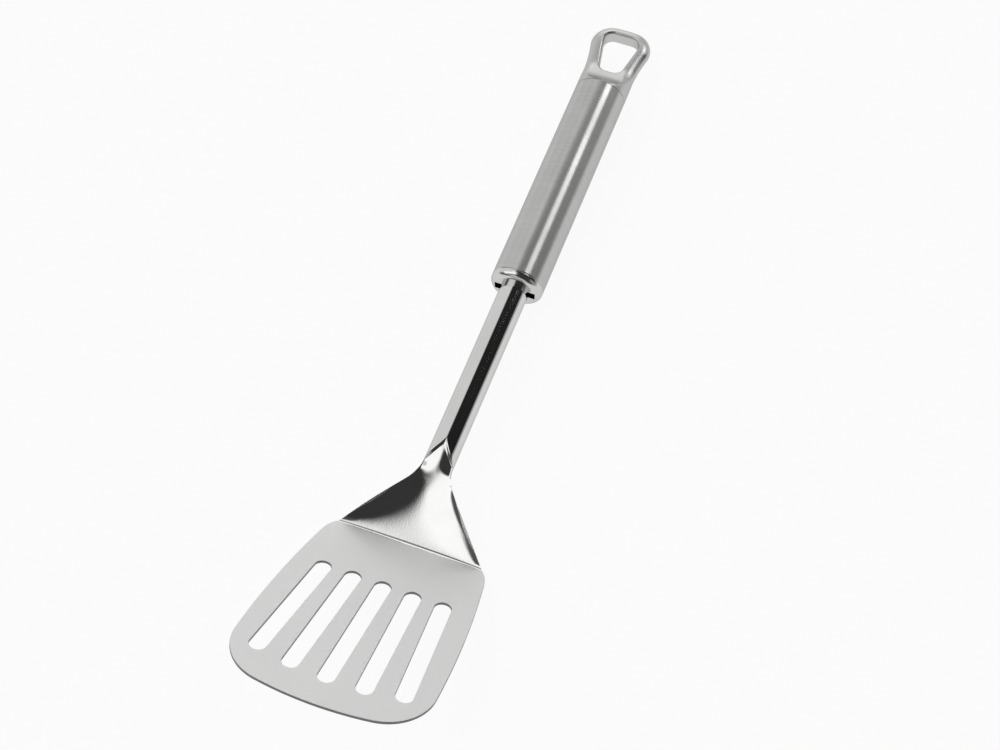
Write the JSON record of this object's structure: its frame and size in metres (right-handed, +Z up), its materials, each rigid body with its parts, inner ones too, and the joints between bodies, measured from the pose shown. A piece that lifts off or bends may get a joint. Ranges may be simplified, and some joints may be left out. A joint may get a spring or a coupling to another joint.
{
  "type": "slotted kitchen turner",
  "caption": "Stainless steel slotted turner: flat rounded blade with drain slots, dished neck, round polished stem, satin tube handle and a hanging eye.",
  "frame": {"origin": "on the resting surface, under the middle of the whole length", "axes": "+X across the blade, +Y along the level handle towards the hanging eye, +Z up; the turner lies on its heel and the underside of its handle"},
  "size_m": [0.077, 0.3358, 0.046],
  "materials": {
    "blade_steel": "satin blade, polished neck and stem",
    "polished_steel": "mirror polished",
    "satin_steel": "satin, brushed round the tube",
    "weld_metal": "as welded"
  },
  "bodies": {
    "root": {"blade_and_stem": "blade_steel", "front_collar": "polished_steel", "tang_weld": "weld_metal", "handle_tube": "satin_steel", "hanging_cap": "polished_steel"}
  },
  "joints": []
}
